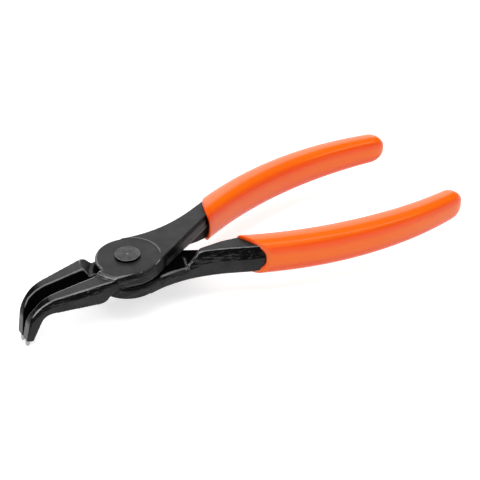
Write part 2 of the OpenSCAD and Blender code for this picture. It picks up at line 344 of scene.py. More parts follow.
def forged_black_steel(shades):
    """Sides with the skin of the forging: rough, scaly and darker than the milled faces, with painted shade,
    painted glints and painted highlights laid on.
    """
    made, s = new_material("forged_black_steel")
    place = object_place(s)
    fine = s.noise(place, 4200.0, 3.0)
    skin = s.noise(stretched(s, place, (75.0, 760.0, 1500.0)), 1.0, 5.0, 0.6)
    pits = s.band(s.noise(place, 1100.0, 3.0), 0.56, 0.72)
    wear_and_highlight = s.band(s.mark("wear_and_highlight") * (0.35 + 1.3 * skin), 0.3, 0.9)
    ground_and_highlight = s.mark("ground_and_highlight") * (0.35 + 0.35 * fine)
    streak = s.noise(stretched(s, place, (900.0, 900.0, 140.0)), 1.0, 4.0, 0.6, 0.6)
    # painted glints: bright streaks of bare steel colour on the riser
    painted_glint = s.mark("riser_glints") * s.band(streak, 0.44, 0.58)
    # painted shade in the joint, on the disc walls and on the inner side of the handle, with darker skin on the
    # jaw's bend
    painted_shade_and_dark_bend = s.mark("painted_shade_and_dark_bend")
    # darker forging scale along the top of the outer sides, deepened as painted shade, and painted shade next to
    # the grip
    scale = skin - 0.12 * s.mark("scale_and_painted_shade")
    dark_scale_and_shade = (1.0 - s.band(scale, 0.40, 0.64)) * (1.0 - 0.5 * s.mark("calm"))
    dark_scale_and_shade = dark_scale_and_shade.math("MAXIMUM", painted_shade_and_dark_bend * s.band(fine, 0.22, 0.4))
    fleck = s.band(s.noise(stretched(s, place, (500.0, 500.0, 1500.0)), 1.0, 3.0), 0.58, 0.72)
    base = s.mix(dark_scale_and_shade, rgba(shades.forged, 1.6), rgba(shades.forged, 0.05))
    base = s.mix(fleck * 0.1, base, rgba(shades.worn))
    base = s.mix(wear_and_highlight * 0.8, base, rgba(shades.worn))
    base = s.mix(painted_glint * 0.8, base, rgba(shades.worn, 1.2))
    base = s.mix(ground_and_highlight, base, rgba(shades.worn))
    rough = 0.42 + 0.2 * skin + 0.05 * fine - 0.08 * wear_and_highlight - 0.08 * ground_and_highlight
    metal = (dark_scale_and_shade * 0.8 + painted_glint * 0.4 + ground_and_highlight * 0.25 + wear_and_highlight * 0.7).clamp()
    height = skin + fine * 0.14 - pits * 0.35 + painted_glint * 0.8
    finish_with(s, {"Base Color": base, "Roughness": rough.clamp(0.22, 0.85), "Metallic": metal,
                    "Specular IOR Level": 0.12, "Normal": s.bump(height, 0.55, 0.00025)})
    return made


def painted_shade_steel(shades):
    """Painted shade on faces in the joint, between the jaws and round the rivet heads: nearly black and dull."""
    made, s = new_material("painted_shade_steel")
    place = object_place(s)
    skin = s.noise(place, 700.0, 4.0, 0.6)
    wear_and_highlight = s.band(s.mark("wear_and_highlight") * (0.35 + 1.3 * skin), 0.3, 0.9)
    base = s.mix(s.band(skin, 0.35, 0.7), rgba(shades.forged, 0.03), rgba(shades.forged, 0.1))
    base = s.mix(wear_and_highlight * 0.75, base, rgba(shades.worn))
    painted_glint = s.mark("riser_glints") * s.band(skin, 0.45, 0.6)
    base = s.mix(painted_glint * 0.6, base, rgba(shades.worn))
    rough = (0.6 + 0.2 * skin - 0.2 * wear_and_highlight).clamp(0.3, 0.9)
    finish_with(s, {"Base Color": base, "Roughness": rough,
                    "Metallic": (wear_and_highlight * 0.7 + painted_glint * 0.5).clamp(),
                    "Specular IOR Level": 0.015, "Normal": s.bump(skin, 0.4, 0.00015)})
    return made


def rivet_black_steel(shades):
    """Rivet ends turned flat and blackened, with fine rings round the middle."""
    made, s = new_material("rivet_black_steel")
    place = object_place(s)
    rings = s.node("ShaderNodeTexWave", {"Vector": place, "Scale": 900.0, "Distortion": 1.2,
                                         "Detail": 2.0, "Detail Scale": 3.0}, "Fac",
                   wave_type="RINGS", rings_direction="Z")
    cloud = s.noise(place, 420.0, 4.0)
    fine = s.noise(place, 5200.0, 2.0)
    mark = s.mark("ground_and_highlight")
    wear_and_highlight = s.mark("wear_and_highlight") * s.band(cloud, 0.25, 0.6)
    base = s.mix(s.band(cloud, 0.3, 0.75), rgba(shades.black, 1.5), rgba(shades.black, 2.6))
    base = s.mix(wear_and_highlight * 0.35 + mark * 0.6, base, rgba(shades.worn))
    rough = (0.36 + 0.12 * cloud + 0.06 * rings).clamp(0.2, 0.7)
    height = rings * 0.5 + fine * 0.4
    finish_with(s, {"Base Color": base, "Roughness": rough,
                    "Metallic": (wear_and_highlight * 0.4 + mark * 0.5).clamp(),
                    "Specular IOR Level": 0.14, "Normal": s.bump(height, 0.2, 0.00003)})
    return made


def bare_turned_steel(shades):
    """Turned bare steel, with fine lathe lines round the pin."""
    made, s = new_material("bare_turned_steel")
    place = object_place(s)
    lines = s.noise(stretched(s, place, (700.0, 700.0, 9000.0)), 1.0, 2.0)
    cloud = s.noise(place, 900.0, 3.0)
    base = s.mix(s.band(cloud, 0.3, 0.75), rgba(shades.bare, 0.8), rgba(shades.bare, 1.1))
    rough = (0.24 + 0.14 * cloud + 0.08 * lines).clamp(0.15, 0.6)
    finish_with(s, {"Base Color": base, "Roughness": rough, "Metallic": 1.0,
                    "Normal": s.bump(lines, 0.15, 0.00003)})
    return made


def dipped_orange_plastic(shades):
    """Dipped plastic: smooth skin, faint orange peel, random deeper tone, and painted shade in a deeper colour
    where the section turns from top and bottom to the sides.
    """
    made, s = new_material("dipped_orange_plastic")
    place = object_place(s)
    peel = s.noise(place, 620.0, 2.0, 0.5)
    fine = s.noise(place, 4000.0, 2.0)
    drift = s.noise(stretched(s, place, (28.0, 60.0, 60.0)), 1.0, 3.0)
    lip = s.mark("lip")
    # thin is a painted shade band, lip deepens the colour at the mouth, drift is random tone
    thin = (s.band(drift, 0.3, 0.75) * 0.15 + s.mark("thin") * 0.7 + lip * 0.3).clamp()
    base = s.mix(thin, rgba(shades.grip), rgba(shades.grip_deep))
    rough = (0.10 + 0.10 * drift + 0.05 * fine).clamp(0.08, 0.7)
    height = peel * 0.8 + fine * 0.12
    finish_with(s, {"Base Color": base, "Roughness": rough, "Specular IOR Level": 0.4,
                    "Normal": s.bump(height, 0.08, 0.0001)})
    return made


def material(make, shades):
    """A finish, made once and then found again by the name of its function."""
    return bpy.data.materials.get(make.__name__) or make(shades)


def seat(piece, node):
    """Puts a finished piece in the place of its CAD node."""
    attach(piece, BODY_OF[node])
    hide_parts(node)


def new_object(name, mesh):
    """An object in the scene at the origin."""
    made = bpy.data.objects.new(name, mesh)
    bpy.context.scene.collection.objects.link(made)
    return made


def baked(piece):
    """Carries out the modifiers of an object and removes them."""
    graph = bpy.context.evaluated_depsgraph_get()
    mesh = bpy.data.meshes.new_from_object(piece.evaluated_get(graph), depsgraph=graph)
    old = piece.data
    piece.modifiers.clear()
    piece.data = mesh
    bpy.data.meshes.remove(old)
    mesh.name = piece.name


def paint(mesh, name, values):
    """Keeps one number per vertex on the mesh."""
    layer = mesh.attributes.new(name, "FLOAT", "POINT")
    layer.data.foreach_set("value", np.ascontiguousarray(values, np.float32))


def rows_of(items, name, width=1, kind=np.float32):
    """One property of every item of a mesh, as rows when it has some width."""
    values = np.empty(len(items) * width, kind)
    items.foreach_get(name, values)
    return values.reshape(-1, width) if width > 1 else values


def points_of(mesh):
    return rows_of(mesh.vertices, "co", 3).astype(float)


def normals_of(mesh):
    return rows_of(mesh.vertex_normals, "vector", 3).astype(float)


def relaxed(rows, ends, rounds):
    """Moves every row half way to the middle of its neighbours, a few times."""
    size = len(rows)
    count = np.maximum(1, np.bincount(ends.ravel(), minlength=size))[:, None]
    for _ in range(rounds):
        total = np.stack([
            np.bincount(ends[:, 0], column[ends[:, 1]], size)
            + np.bincount(ends[:, 1], column[ends[:, 0]], size) for column in rows.T], 1)
        rows = rows + 0.5 * (total / count - rows)
    return rows


def ramp(low, high, x):
    """0 below low, 1 over high, smooth between."""
    t = np.minimum(1.0, np.maximum(0.0, (x - low) / (high - low)))
    return t * t * (3 - 2 * t)


def rise(low, high, x):
    """A ramp with its ends in millimetres."""
    return ramp(low * MM, high * MM, x)


def centred(middle, core, edge, x):
    """1 within core of the middle, 0 beyond edge, all three in millimetres."""
    return 1 - rise(core, edge, np.abs(x - middle * MM))


class Skin:
    """The eased surface of a forged half, one value per point, and the marks painted on it.

    Places count from the pivot and the lap. face is the height towards the half's own face, own and
    out are the place and the normal towards the side of its own handle.
    """

    OUTLINE_GRAIN = 0.5 * MM  # step along the handle line in which the outline is read
    SMOOTH_FROM = 3.4 * MM  # depth under the outline where the jaw's sides are smooth

    def __init__(self, co, no, side, split):
        self.side, self.split = side, split
        self.x, self.y, self.up = co[:, 0], co[:, 1], co[:, 2] - PIVOT.z
        self.r = np.hypot(self.x, self.y)
        self.face, self.own = side * self.up, side * self.y
        self.nx, self.ny, self.nz = no.T
        self.out, self.flat = side * self.ny, np.abs(self.nz)
        self.depth = self.crest() - self.up
        self.jaw = rise(4, 9, -self.x)
        self.slope = ramp(0.25, 0.45, self.flat) * (1 - ramp(0.85, 0.97, self.flat))
        self.inner = ramp(0.3, 0.7, -self.out) * rise(9, 12, self.x)
        self.deep = 1 - rise(18, 24, self.x)
        # On the inner side of the handle, the joint end, the top band and the grip's mouth take painted shade, and
        # lit is painted light on the band between
        mouth = rise(39, 41, self.x + 0.3 * self.own)
        self.hidden = np.max([self.deep, rise(3.5, 4.1, self.face), mouth], axis=0)
        self.lit = self.inner * (1 - self.hidden) * rise(-0.5, 0.5, self.face)

    def crest(self):
        """Height of the upper outline over every point, read along the handle line."""
        start = self.x.min()
        slot = np.floor((self.x - start) / self.OUTLINE_GRAIN).astype(int)
        top = np.full(slot.max() + 1, self.up.min())
        np.maximum.at(top, slot, self.up)
        return np.interp(self.x, start + (np.arange(len(top)) + 0.5) * self.OUTLINE_GRAIN, top)

    def bend(self):
        """The outer side of the jaw's bend."""
        bend = rise(24, 33, -self.x) * (1 - ramp(0.86, 0.985, self.flat))
        bend *= (1 - ramp(0.86, 0.96, -self.nx)) * (1 - ramp(0.3, 0.6, np.abs(self.ny)))
        return bend * (self.nz > 0.1)

    def wear_and_highlight(self, rubbed, wide):
        """Edges with the black rubbed off and painted highlights on edges: wide along the jaws, thin on handles,
        and a painted highlight along the near rim.
        """
        jaw, grip = self.jaw, rise(13, 18, self.x)
        # wider along the jaws, partly as painted highlight
        wear_and_highlight = rubbed + jaw * (wide * (1 - 0.8 * ramp(0.0, 0.3, -self.nz)) - rubbed)
        leg_end = rise(33, 36, -self.x) * rise(2, 4.5, -self.up)
        top = rise(4, 5, np.abs(self.up))
        # painted highlight along the top edges on the near side
        rim = rise(7, 9, -self.y) * (1 - jaw) * (1 - grip) * (self.face > 4 * MM)
        wear_and_highlight *= 0.3 + 1.1 * jaw * (1 - 0.9 * leg_end) + grip * (0.5 + 0.6 * top) + 0.9 * rim
        wear_and_highlight *= 1 - 0.9 * ramp(0.1, 0.4, -self.out) * rise(8, 11, self.x)
        return wear_and_highlight * (1 - 0.25 * self.bend())

    def scale_and_painted_shade(self):
        """Darker scale along the top of the outer sides, partly painted shade, and painted shade on the handle
        next to the grip.
        """
        outward = ramp(0.4, 0.7, self.ny * np.sign(self.y)) * (self.r > 14 * MM)
        handle = np.maximum(1.25 * rise(2, 4.4, self.up),
                            rise(34, 40, self.x) * rise(-4.5, -1, self.up))
        return outward * np.where(self.x < 0, 1 - rise(1.6, 3.4, self.depth), handle)

    def painted_shade_and_dark_bend(self):
        """Blackest skin: darker skin on the jaw's bend, and painted shade on the disc walls at lap and rim and on
        the inner side of the handle.
        """
        wall = (1 - rise(11.5, 18, self.r)) * (1 - ramp(0.3, 0.6, self.flat))
        # painted shade on the lower disc's wall just under the lap
        lap = wall * (1 - rise(1.2, 2.8, -self.up)) * (self.side < 0)
        # painted shade on the upper disc's wall just under its top face
        rim = wall * rise(2.8, 4.0, self.up) * (self.side > 0)
        rim *= 1 - 0.5 * rise(-6, 4, self.x)
        return np.max([self.bend(), lap, rim, self.inner * self.hidden], axis=0)

    def calm(self):
        """Even skin: on the discs, and on the band of painted light on the inner side of the handle."""
        return np.maximum(1 - rise(12.6, 14, self.r), self.lit)

    def ground_and_highlight(self):
        """Bright ground marks and painted highlights, each with its strength."""
        r, flat = self.r, self.flat
        leg = rise(33, 36, -self.x) * ramp(0.75, 0.93, -self.nx) * rise(5.5, 7.5, -self.up)
        # painted highlight along the crest and foot of the jaw root's riser
        step = self.slope * (1 - rise(16.5, 17.5, r)) * rise(5, 8, -self.x)
        step *= rise(1.5, 3, self.face) * (self.nz * self.side > 0)
        step *= 0.12 + 4.0 * centred(13.85, 0.38, 0.62, r) + 0.45 * centred(14.85, 0.08, 0.2, r)
        # painted highlight: a ring where the spot face meets the handle
        ring = centred(12.05, 0.12, 0.34, r) * ramp(0.9, 0.97, flat) * (self.face > 4 * MM)
        ring *= rise(2, 5, self.x) * rise(-5.5, -2, self.own)
        # painted highlight on the broken edge along the lap
        strip = ramp(0.3, 0.6, self.out) * ramp(0.35, 0.6, flat) * (np.abs(self.up) < 1.1 * MM)
        strip *= rise(12.5, 14, r) * (1 - rise(22, 24, r)) * (self.x > 0)
        line = centred(0.8, 0.1, 0.3, self.face) * (self.side > 0)
        line *= (1 - rise(12.5, 13, r)) * rise(11, 11.8, r)
        crown = rise(12, 16, -self.x) * ramp(0.93, 0.98, self.nz)
        # painted highlight along the parting line on the inner side of the handle
        seam = self.inner * (1 - self.deep) * centred(0.8, 0.2, 0.5, self.face)
        # lit adds painted light, leg is ground steel
        return np.max([0.5 * leg, step, 0.7 * ring, 0.7 * strip, 0.12 * line, 0.1 * crown,
                       0.2 * self.lit, 0.4 * seam], axis=0)

    def riser_glints(self):
        """Where painted glints go: the sloped edge of the pocket under the lap, and its foot."""
        band = rise(20.5, 22.5, self.r) * (1 - rise(27, 29, self.r))
        foot = centred(21.3, 0.2, 0.5, self.r) * (np.abs(self.up) < 1.0 * MM) * (self.x > 0)
        return np.maximum(self.slope * band, 0.5 * foot) * rise(3, 6, np.abs(self.y))

    def under(self):
        """Lower part of the sides, as smooth as the milled faces."""
        return np.where(self.x < -8 * MM, self.depth > self.SMOOTH_FROM, self.up < self.split)

    def marks(self, rubbed, wide):
        """All painted marks by name."""
        return {"wear_and_highlight": self.wear_and_highlight(rubbed, wide), "scale_and_painted_shade": self.scale_and_painted_shade(), "painted_shade_and_dark_bend": self.painted_shade_and_dark_bend(),
                "calm": self.calm(), "ground_and_highlight": self.ground_and_highlight(), "riser_glints": self.riser_glints(),
                "under": self.under()}


class Forging:
    """One forged half: the CAD solid with drafted sides, a parting line and eased edges."""

    LEVELS = [k * 0.9 * MM for k in range(-6, 7)]  # slices over and under the lap
    STATIONS = [(10 + 2.5 * k) * MM for k in range(16)]  # slices along the handle
    BORE = 5 * MM  # no draft within this distance from the pivot
    PLUG_RADIUS, PLUG_DEPTH = 1.16 * MM, 6.2 * MM
    RUBBED_OFF = 0.10 * MM  # easing that shows as full wear
    CORE_CUT = 0.93  # share of the hidden triangles that goes
    MILLED, FORGED, HOLLOW = range(3)  # finishes, by their slots

    def __init__(self, node, sizes):
        self.node, self.sizes = node, sizes
        self.side = 1.0 if node.startswith("upper") else -1.0

    def parting(self, r):
        """Height of the parting line over the lap at distance r from the pivot."""
        s = self.sizes
        return self.side * s.lap_mid * (1.0 - ramp(s.step_from, s.step_to, r))

    def welded(self):
        """The CAD solid with its points joined."""
        bm = bmesh.new()
        bm.from_mesh(frame["nodes"][self.node].data)
        bmesh.ops.remove_doubles(bm, verts=bm.verts, dist=0.002 * MM)
        return bm

    def sliced(self, bm):
        """Adds the rings of points that the drafted sides bend at."""
        cuts = [((0, 0, PIVOT.z + z), (0, 0, 1)) for z in self.LEVELS]
        cuts += [((x, 0, 0), (1, 0, 0)) for x in self.STATIONS]
        for co, no in cuts:
            geom = bm.verts[:] + bm.edges[:] + bm.faces[:]
            bmesh.ops.bisect_plane(bm, geom=geom, plane_co=co, plane_no=no, dist=1e-7)

    def drafted(self, bm):
        """Leans the sides of disc and handle outwards to a parting line."""
        bm.normal_update()
        lean = math.tan(self.sizes.draft)
        moves = []
        for v in bm.verts:
            r = math.hypot(v.co.x, v.co.y)
            share = rise(-9, -4, v.co.x) * (1 - rise(41, 46, v.co.x))
            if r < self.BORE or share == 0.0:
                continue
            out = Vector((0, 0, 0))
            for f in v.link_faces:
                if abs(f.normal.z) < 0.3:
                    out += f.normal * f.calc_area()
            out.z = 0.0
            if out.length > 1e-12:
                mid, up = self.parting(r), v.co.z - PIVOT.z
                shift = lean * share * (self.sizes.half - abs(mid) - abs(up - mid))
                if abs(up) < 0.3 * MM and out.y * self.side > 0 and v.co.x > 0:
                    shift -= self.sizes.lap_edge * rise(12, 14, r) * (r < 22.5 * MM)
                moves.append((v, out.normalized() * shift))
        for v, move in moves:
            v.co += move

    def plugged(self, bm):
        """Fills the pin hole, which the pin itself fills in the finished half."""
        mount = MOUNTS["tip_pin_upper" if self.side > 0 else "tip_pin_lower"]
        axis = Vector(mount["axis"]).normalized()
        face = Vector(mount["pos_m"]) - axis * mount["dims"]["length_mm"] * MM / 2
        middle = Matrix.Translation(face - axis * self.PLUG_DEPTH / 2)
        turn = axis.to_track_quat("Z", "Y").to_matrix().to_4x4()
        bmesh.ops.create_cone(bm, cap_ends=True, segments=24, depth=self.PLUG_DEPTH,
                              radius1=self.PLUG_RADIUS, radius2=self.PLUG_RADIUS,
                              matrix=middle @ turn)

    def build(self):
        """The finished half, with its marks and finishes."""
        bm = self.welded()
        self.sliced(bm)
        self.drafted(bm)
        self.plugged(bm)
        mesh = bpy.data.meshes.new(self.node)
        bm.to_mesh(mesh)
        bm.free()
        piece = new_object("forged_" + self.node, mesh)
        remesh = piece.modifiers.new("grain", "REMESH")
        remesh.mode, remesh.voxel_size = "VOXEL", self.sizes.grain
        baked(piece)
        self.ease(piece)
        self.thin_core(piece)
        self.share_out(piece.data)
        return piece

    def ease(self, piece):
        """Rounds every edge and paints the marks, with wear and painted highlights where the most was taken off.
        """
        mesh = piece.data
        ends = rows_of(mesh.edges, "vertices", 2, np.int32)
        before = points_of(mesh)
        after = relaxed(before, ends, self.sizes.rounds)
        mesh.vertices.foreach_set("co", after.astype(np.float32).ravel())
        mesh.update()
        no = normals_of(mesh)
        taken = ((before - after) * no).sum(1, keepdims=True)
        rubbed = relaxed(np.clip(taken / self.RUBBED_OFF, 0, 1), ends, 2)
        wide = np.minimum(1.0, 1.6 * relaxed(rubbed, ends, 3))
        split = self.parting(np.hypot(after[:, 0], after[:, 1]))
        skin = Skin(after, no, self.side, split)
        for name, values in skin.marks(rubbed[:, 0], wide[:, 0]).items():
            paint(mesh, name, values)

    def thin_core(self, piece):
        """Fewer triangles on the core that the grip hides."""
        co = points_of(piece.data)
        hidden = np.nonzero(co[:, 0] > self.sizes.core_from)[0]
        group = piece.vertex_groups.new(name="core")
        group.add([int(i) for i in hidden], 1.0, "REPLACE")
        thin = piece.modifiers.new("thin", "DECIMATE")
        thin.ratio = 1.0 - self.CORE_CUT * len(hidden) / len(co)
        thin.vertex_group = group.name
        baked(piece)
        piece.vertex_groups.clear()

    def share_out(self, mesh):
        """Milled finish on the flat faces, forged skin on the sides, painted shade in the hollows."""
        shades = bpy.context.scene.pliers_finish
        mesh.materials.clear()
        for make in (milled_black_steel, forged_black_steel, painted_shade_steel):
            mesh.materials.append(material(make, shades))
        faces = mesh.polygons
        no, at = rows_of(faces, "normal", 3), rows_of(faces, "center", 3)
        first = rows_of(faces, "loop_start", 1, np.int32)
        corners = rows_of(mesh.loops, "vertex_index", 1, np.int32)
        under = rows_of(mesh.attributes["under"].data, "value")
        flat, off_lap = np.abs(no[:, 2]), np.abs(at[:, 2] - PIVOT.z)
        x, r = at[:, 0], np.hypot(at[:, 0], at[:, 1])
        finish = np.full(len(faces), self.MILLED, np.int32)
        low = (under[corners[first]] > 0.5) & (r > 14 * MM) & (np.abs(no[:, 1]) > 0.7)
        finish[(flat < np.where(x < -26 * MM, 0.95, 0.85)) & ~low] = self.FORGED
        # painted shade: lap faces, the faces of the jaws that face each other, disc rims by the jaws, and the lap
        # line
        lap = (flat > 0.9) & (off_lap < 0.5 * MM) & ((x > -8 * MM) | (r < 12.9 * MM))
        gap = (x < -13 * MM) & (no[:, 1] * np.sign(at[:, 1]) < -0.5)
        rim = (flat < 0.5) & (r < 12.4 * MM) & (x < -10.5 * MM)
        seam = (off_lap < 0.45 * MM) & (r < 13 * MM)
        finish[lap | gap | rim | seam] = self.HOLLOW
        faces.foreach_set("material_index", finish)
        mesh.shade_smooth()
        mesh.update()


class PLIERS_OT_forged_halves(bpy.types.Operator):
    """Build the two forged halves over their solids."""

    bl_idname = "pliers.forged_halves"
    bl_label = "Forged halves"

    def execute(self, context):
        for node in ("lower_half", "upper_half"):
            piece = Forging(node, context.scene.pliers_forging).build()
            seat(piece, node)
        return {"FINISHED"}


def lathe(name, profile, turns=96):
    """A closed solid of revolution from (radius, height) points, both ends on the axis."""
    bm = bmesh.new()
    rings = []
    for r, z in profile:
        if r == 0.0:
            rings.append([bm.verts.new((0, 0, z))])
        else:
            rings.append([bm.verts.new((r * math.cos(a), r * math.sin(a), z))
                          for a in (2 * math.pi * k / turns for k in range(turns))])
    for low, high in zip(rings, rings[1:]):
        for k in range(turns):
            n = (k + 1) % turns
            corners = [low[k % len(low)], low[n % len(low)], high[n % len(high)],
                       high[k % len(high)]]
            bm.faces.new(list(dict.fromkeys(corners)))
    bmesh.ops.recalc_face_normals(bm, faces=bm.faces)
    mesh = bpy.data.meshes.new(name)
    bm.to_mesh(mesh)
    bm.free()
    return mesh


def corner(r, z, edge, down, steps=6):
    """Points of a rounded outer corner at radius r and height z."""
    turn = 1.0 if down else -1.0
    angles = [math.pi / 2 * k / steps for k in range(steps + 1)]
    ring = [(r - edge + edge * math.sin(a), z - turn * edge * (1 - math.cos(a))) for a in angles]
    return ring if down else ring[::-1]


class PLIERS_OT_rivet(bpy.types.Operator):
    """Turn the pivot rivet with its two heads and centre marks."""

    bl_idname = "pliers.rivet"
    bl_label = "Pivot rivet"

    def execute(self, context):
        s = context.scene.pliers_rivet
        low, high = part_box("pivot_rivet")
        head = high.x
        deep = head_depth()
        mark = [(0.0, -s.mark_deep), (s.mark * 0.35, -s.mark_deep * 0.9), (s.mark, 0.0),
                (s.mark * 1.25, 0.0)]
        top = [(r, high.z + z) for r, z in mark] + corner(head, high.z, s.head_edge, True)
        under = [(head, high.z - deep), (s.shank, high.z - deep)]
        foot = [(s.shank, low.z + deep), (head, low.z + deep)]
        bottom = corner(head, low.z, s.head_edge, False) + [(r, low.z - z) for r, z in mark[::-1]]
        mesh = lathe("pivot_rivet_turned", top + under + foot + bottom)
        piece = new_object("turned_pivot_rivet", mesh)
        for make in (rivet_black_steel, painted_shade_steel):
            mesh.materials.append(material(make, context.scene.pliers_finish))
        # the side faces of the heads take painted shade
        for face in mesh.polygons:
            face.material_index = int(abs(face.normal.z) < 0.4)
        co = points_of(mesh)
        r = np.hypot(co[:, 0], co[:, 1])
        rim = ramp(head - 1.2 * s.head_edge, head - 0.4 * s.head_edge, r)
        paint(mesh, "wear_and_highlight", rim * (1 - ramp(0.4 * s.head_edge, 0.9 * s.head_edge,
                                            np.minimum(high.z - co[:, 2], co[:, 2] - low.z))))
        paint(mesh, "ground_and_highlight", 1 - ramp(s.mark * 0.7, s.mark, r))
        mesh.shade_smooth()
        mesh.set_sharp_from_angle(angle=math.radians(40))
        seat(piece, "pivot_rivet")
        return {"FINISHED"}


def head_depth():
    """Height of a rivet head, from its rim in the solid."""
    low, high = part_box("pivot_rivet")
    co = points_of(frame["nodes"]["pivot_rivet"].data)
    rim = co[np.hypot(co[:, 0], co[:, 1]) > high.x * 0.995]
    return high.z - rim[rim[:, 2] > PIVOT.z][:, 2].min()


class PLIERS_OT_tip_pins(bpy.types.Operator):
    """Turn the two bare tip pins and set them in their jaws."""

    bl_idname = "pliers.tip_pins"
    bl_label = "Tip pins"

    NOSE, ROOT_EDGE, SUNK = 0.25 * MM, 0.2 * MM, 0.02 * MM

    def execute(self, context):
        s = context.scene.pliers_rivet
        for which in ("lower", "upper"):
            mount = MOUNTS["tip_pin_" + which]
            r, straight = mount["dims"]["r_mm"] * MM, mount["dims"]["length_mm"] * MM
            axis = Vector(mount["axis"]).normalized()
            nose = [(s.pin_end - self.NOSE * (1 - math.sin(a)),
                     s.pin_out - self.NOSE * (1 - math.cos(a)))
                    for a in (math.pi / 2 * k / 5 for k in range(5, -1, -1))]
            profile = [(0.0, -s.pin_in), (s.pin_root - self.ROOT_EDGE, -s.pin_in),
                       (s.pin_root, -s.pin_in + self.ROOT_EDGE), (s.pin_root, -self.SUNK),
                       (r, -self.SUNK), (r, straight * 0.5), (r, straight), *nose,
                       (0.0, s.pin_out)]
            mesh = lathe("tip_pin_" + which, profile, 48)
            turn = axis.to_track_quat("Z", "Y").to_matrix().to_4x4()
            foot = Vector(mount["pos_m"]) - axis * straight / 2
            mesh.transform(Matrix.Translation(foot) @ turn)
            mesh.materials.append(material(bare_turned_steel, context.scene.pliers_finish))
            mesh.shade_smooth()
            mesh.set_sharp_from_angle(angle=math.radians(32))
            seat(new_object("bare_tip_" + which, mesh), which + "_tip")
        return {"FINISHED"}


GRIP_INPUTS = ("mouth", "reach", "width", "thickness", "slim_from", "end_size", "squareness",
               "dome", "lip", "skew", "scallop", "fade", "bow_radius", "bow_at", "spread", "turn",
               "lap")
SKIN_RINGS, LIP_RINGS, POINTS_ROUND = 120, 41, 97
DOME_POWER = 2.2  # 2 is an ellipse
ROLLED_TO, INSIDE_TO = 0.7, 0.9  # shares of the lip's rings, the rest closes it
INSIDE_REACH = 3.0 * MM


def grip_section(s, put, x, inset, size, around):
    """Nodes for the point of a grip at distance x, set in by inset, at an angle around it."""
    slim = ((x - put["slim_from"]) / (put["reach"] - put["slim_from"])).math("MAXIMUM", 0.0)
    tail = (1.0 - (put["reach"] - x) / put["dome"]).clamp()
    round_end = (1.0 - tail ** DOME_POWER).math("MAXIMUM", 0.0) ** (1 / DOME_POWER)
    full = (1.0 - (1.0 - put["end_size"]) * slim * slim) * round_end
    power = 2.0 / put["squareness"]
    cos, sin = around.math("COSINE"), around.math("SINE")
    across = cos.math("SIGN") * cos.math("ABSOLUTE") ** power
    upward = sin.math("SIGN") * sin.math("ABSOLUTE") ** power * size
    v = (put["width"] * 0.5 * full - inset) * across * size
    z = (put["thickness"] * 0.5 * full - inset) * upward
    fade = (1.0 - (x - put["mouth"]) / put["fade"]).clamp()
    slip = fade * (v * put["skew"].math("TANGENT") + put["scallop"] * (1.0 - upward * upward))
    turn = ((x + slip - put["bow_at"]) / put["bow_radius"]).math("ARCSINE")
    arm = put["bow_radius"] + v
    px = put["bow_at"] + arm * turn.math("SINE")
    py = put["spread"] - put["bow_radius"] + arm * turn.math("COSINE")
    return s.node("ShaderNodeCombineXYZ", {"X": px, "Y": py * put["turn"],
                                           "Z": z * put["turn"] + put["lap"]})


def grip_tree():
    """Geometry nodes that sweep a dipped grip along the bowed handle."""
    tree = bpy.data.node_groups.new("dipped_grip", "GeometryNodeTree")
    tree.interface.new_socket("Geometry", in_out="OUTPUT", socket_type="NodeSocketGeometry")
    for name in GRIP_INPUTS:
        tree.interface.new_socket(name, in_out="INPUT", socket_type="NodeSocketFloat")
    tree.interface.new_socket("finish", in_out="INPUT", socket_type="NodeSocketMaterial")
    s = Sheet(tree)
    entry = s.node("NodeGroupInput", None, None)
    put = {name: Wire(tree, entry.outputs[name]) for name in GRIP_INPUTS}
    place = s.node("GeometryNodeInputPosition")
    split = s.node("ShaderNodeSeparateXYZ", {"Vector": place}, None)
    u = Wire(tree, split.outputs["X"]) + 0.5
    around = (Wire(tree, split.outputs["Y"]) + 0.5) * (2 * math.pi)
    sheets = []
    # skin from the lip to the rounded end, rings close together at both
    along = 0.5 - 0.5 * (u * math.pi).math("COSINE")
    start = put["mouth"] + put["lip"]
    x = start + (put["reach"] - start) * along
    sheets.append((SKIN_RINGS, grip_section(s, put, x, 0.0, 1.0, around)))
    # rolled lip, then a short way in along the steel, then closed inside it
    roll = (u / ROLLED_TO).clamp() * math.pi
    inward = ((u - ROLLED_TO) / (INSIDE_TO - ROLLED_TO)).clamp()
    shut = ((u - INSIDE_TO) / (1.0 - INSIDE_TO)).clamp()
    x = put["mouth"] + put["lip"] * (1.0 - roll.math("SINE")) + inward * INSIDE_REACH
    inset = put["lip"] * (1.0 - roll.math("COSINE"))
    sheets.append((LIP_RINGS, grip_section(s, put, x, inset, 1.0 - shut, around)))
    joined = s.node("GeometryNodeJoinGeometry", None, None)
    for rings, point in sheets:
        grid = s.node("GeometryNodeMeshGrid", {"Size X": 1.0, "Size Y": 1.0, "Vertices X": rings,
                                               "Vertices Y": POINTS_ROUND}, "Mesh")
        skin = s.node("GeometryNodeSetPosition", {"Geometry": grid, "Position": point})
        tree.links.new(skin.socket, joined.inputs[0])
    merged = s.node("GeometryNodeMergeByDistance",
                    {"Geometry": Wire(tree, joined.outputs[0]), "Distance": 0.004 * MM})
    real = s.node("GeometryNodeRealizeInstances", {"Geometry": merged})
    done = s.node("GeometryNodeSetMaterial",
                  {"Geometry": real, "Material": Wire(tree, entry.outputs["finish"])})
    s.node("NodeGroupOutput", {"Geometry": done}, None)
    return tree


